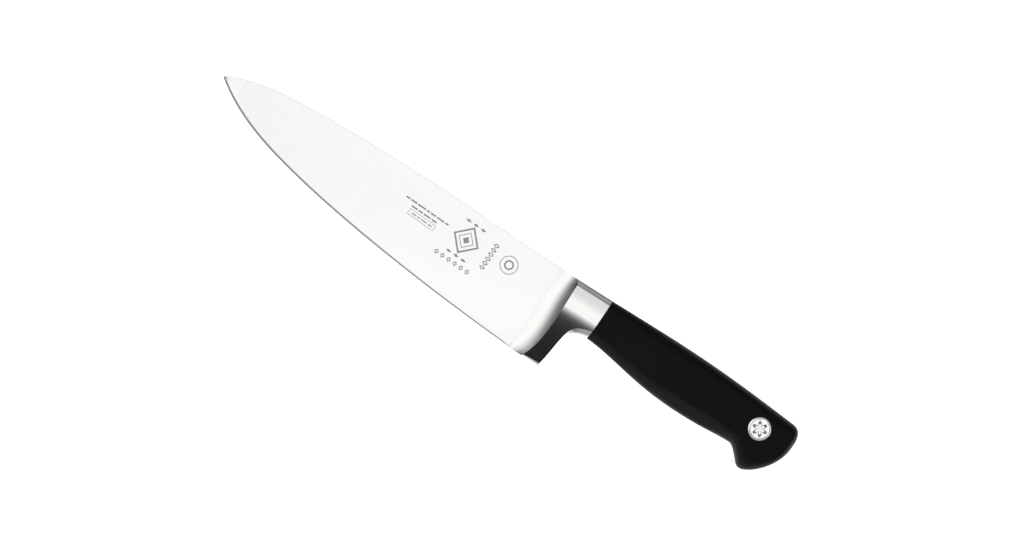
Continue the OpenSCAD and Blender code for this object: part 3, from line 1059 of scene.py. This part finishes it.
def add_dashes(start, lengths, height, gap):
    """A row of dashes from start, along the turned direction."""
    along = 0.0
    for length in lengths:
        centre = along + length / 2
        at = (start[0] + centre * math.cos(MARK_TURN), start[1] + centre * math.sin(MARK_TURN))
        add_plate(box_loop(length, height), at)
        along += length + gap


EMBLEM = (-58.2, -14.0)
add_lozenge(EMBLEM, 7.5, 7.8, 0.9)
add_lozenge(EMBLEM, 4.4, 4.6, 0.4)
add_plate(oval(1.9, 2.0, 4), EMBLEM)
for side, lift in ((1, 8.9), (-1, 9.1)):
    for across in (-4.3, 0.0, 4.3):
        at = (EMBLEM[0] + across + 0.3 * side, EMBLEM[1] + side * lift - 0.05 * across)
        add_plate(oval(1.7, 0.75, 4), at)
NAME_ROW = (-67.8, -26.4)
for k in range(6):
    add_lozenge((NAME_ROW[0] + 3.65 * k, NAME_ROW[1] - 0.14 * k), 1.25, 1.45, 0.5)
add_dashes((-94.8, -11.3), (2.2, 3.6, 4.6, 1.8, 3.0, 4.4, 2.0), 0.85, 0.62)
add_dashes((-90.2, -13.9), (3.6, 2.4, 4.2, 3.0), 0.85, 0.62)
add_band(box_loop(15.4, 3.1), box_loop(14.9, 2.6), (-82.4, -17.2))
add_dashes((-88.2, -16.95), (2.6, 1.6, 3.4, 2.2), 0.6, 0.7)
CODE_ROW = (-43.9, -8.3)
for k in range(6):
    add_lozenge((CODE_ROW[0] - 0.1 * k, CODE_ROW[1] - 2.55 * k), 1.75, 1.2, 0.5)
RING = (-33.7, -13.0)
add_ring(RING, 4.7, 0.42)
add_ring(RING, 2.5, 0.85)
marks = new_object("etched_marks", to_frame(mark_verts), mark_faces, etch_mat)
fix_normals(marks)
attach(marks, "root")

# ------------------------------------------------------------------------------------------
# The hidden pieces keep their CAD shapes
# ------------------------------------------------------------------------------------------

for node, mat in (
    ("core_left", core_mat),
    ("core_right", core_mat),
    ("core_pin_front", pin_mat),
    ("core_pin_rear", pin_mat),
):
    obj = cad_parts[node]
    obj.data.materials.clear()
    obj.data.materials.append(mat)

# ------------------------------------------------------------------------------------------
# Floor, light and camera
# ------------------------------------------------------------------------------------------

FLOOR_SIZE = 8.0
FLOOR_GAP = 0.0002

floor_mat, floor_nodes, floor_shader, floor_place = new_material("floor_white")
floor_clouds = floor_nodes.noise(floor_place, 3.0)
floor_tone = shade_range(floor_nodes, floor_clouds, (0.93, 0.93, 0.93), (0.95, 0.95, 0.95))
floor_nodes.tree.links.new(floor_tone, floor_shader.inputs["Base Color"])
floor_shader.inputs["Roughness"].default_value = 0.9
floor_shader.inputs["Specular IOR Level"].default_value = 0.0
floor_shader.inputs["Emission Color"].default_value = (1, 1, 1, 1)
floor_shader.inputs["Emission Strength"].default_value = 0.85
bpy.ops.mesh.primitive_plane_add(size=FLOOR_SIZE, location=(0, 0, -FLOOR_GAP))
floor = bpy.context.object
floor.name = "floor"
floor.data.materials.append(floor_mat)

# the sky's level straight up, and the largest share of it that a profile can hold
SKY = 1.53
SKY_TOP = 4.0
HORIZON = 90.0
world = bpy.data.worlds.new("studio")
bpy.context.scene.world = world
world.use_nodes = True
sky = Nodes(world.node_tree)
background = world.node_tree.nodes["Background"]
direction = sky.add("ShaderNodeTexCoord").outputs["Generated"]
axes = sky.add("ShaderNodeSeparateXYZ", {"Vector": direction}).outputs


def lean(component, sign):
    """Angle in degrees from straight up towards one side."""
    towards = sky.math("MULTIPLY", axes[component], sign)
    return sky.math("DEGREES", sky.math("ARCTAN2", towards, axes["Z"]))


def sky_profile(component, sign, stops):
    """Brightness along one side of the sky: (degrees from straight up, share of SKY) stops."""
    ramp = sky.add("ShaderNodeValToRGB", {"Fac": sky.math("DIVIDE", lean(component, sign), HORIZON)})
    elements = ramp.color_ramp.elements
    while len(elements) < len(stops):
        elements.new(0.5)
    for element, (angle, share) in zip(elements, stops):
        element.position = angle / HORIZON
        element.color = (*[share / SKY_TOP] * 3, 1)
    return sky.math("MULTIPLY", ramp.outputs["Color"], SKY_TOP)


# towards the cutting edge: a black card that the guard reflects, a thin bright strip beside it,
# a grey card, and a low light that picks out the handle's lower facet
edge_side = [
    (0, 0.97),
    (2.2, 0.92),
    (2.7, 0.935),
    (3.2, 0.965),
    (3.7, 0.985),
    (4.1, 0.965),
    (4.6, 0.92),
    (5.2, 0.82),
    (6.5, 0.56),
    (7.6, 0.27),
    (8.05, 0.12),
    (8.35, 0.06),
    (8.6, 0.036),
    (8.9, 0.025),
    (9.4, 0.018),
    (14.5, 0.018),
    (18.0, 0.8),
    (23.0, 0.8),
    (28.0, 0.21),
    (34.0, 0.3),
    (42.0, 0.34),
    (54.0, 0.32),
    (60.0, 0.8),
    (68.0, 2.8),
    (90.0, 4.0),
]
# towards the spine: a soft fall, with one brighter panel
spine_side = [
    (0, 1.0),
    (2.1, 1.0),
    (4.8, 0.88),
    (8.6, 0.76),
    (10.7, 0.73),
    (17.0, 0.5),
    (31.0, 0.22),
    (40.0, 0.3),
    (48.0, 0.34),
    (56.0, 0.22),
    (90.0, 0.2),
]
# towards the tip: a slow fall into shade, which the plunge reflects
tip_side = [
    (0, 1.0),
    (2.5, 1.0),
    (4.5, 0.99),
    (6.5, 0.965),
    (14.0, 1.0),
    (28.0, 1.0),
    (34.0, 0.975),
    (38.8, 0.84),
    (43.8, 0.71),
    (48.8, 0.51),
    (53.8, 0.355),
    (58.8, 0.24),
    (63.8, 0.178),
    (68.8, 0.147),
    (73.8, 0.135),
    (90.0, 0.12),
]
# towards the butt: dim near the horizon, so that the rounded butt has no light rim
butt_side = [(0, 1.0), (20.0, 1.0), (45.0, 0.3), (90.0, 0.12)]
# the cards beside the knife are narrow: a face that looks past them, towards the tip, sees the
# bright sky
past_cards = sky.ramp(lean("X", -1.0), 8.0, 20.0, 0.0, 1.0)


def narrow_card(sign, stops):
    """The profile beside the knife, given up for open sky where a direction looks past the cards."""
    open_sky = sky.math("MULTIPLY", past_cards, sky.ramp(lean("Y", sign), 14.0, 24.0, 1.0, 0.0))
    shaded = sky.math("MULTIPLY", sky_profile("Y", sign, stops), sky.math("SUBTRACT", 1.0, open_sky))
    return sky.math("ADD", shaded, open_sky)


level = sky.math("MULTIPLY", narrow_card(-1.0, edge_side), SKY)
level = sky.math("MULTIPLY", level, narrow_card(1.0, spine_side))
for sign, stops in ((-1.0, tip_side), (1.0, butt_side)):
    level = sky.math("MULTIPLY", level, sky_profile("X", sign, stops))
world.node_tree.links.new(level, background.inputs["Strength"])
background.inputs["Color"].default_value = (1, 1, 1, 1)

# the camera looks straight down, and the picture is turned
VIEW_TURN = math.radians(32.4)
VIEW_WIDTH = 0.5074
LENS = 100.0
SENSOR = 36.0
VIEW_OVER = to_frame([(-31.7, -13.4, 0)])[0]

camera_data = bpy.data.cameras.new("camera")
camera_data.lens = LENS
camera_data.sensor_width = SENSOR
camera = bpy.data.objects.new("camera", camera_data)
bpy.context.scene.collection.objects.link(camera)
camera.location = Vector(VIEW_OVER) + Vector((0, 0, VIEW_WIDTH * LENS / SENSOR))
camera.rotation_euler = (0, 0, VIEW_TURN)
bpy.context.scene.camera = camera
bpy.context.scene.view_settings.view_transform = "Standard"
bpy.context.scene.view_settings.look = "None"
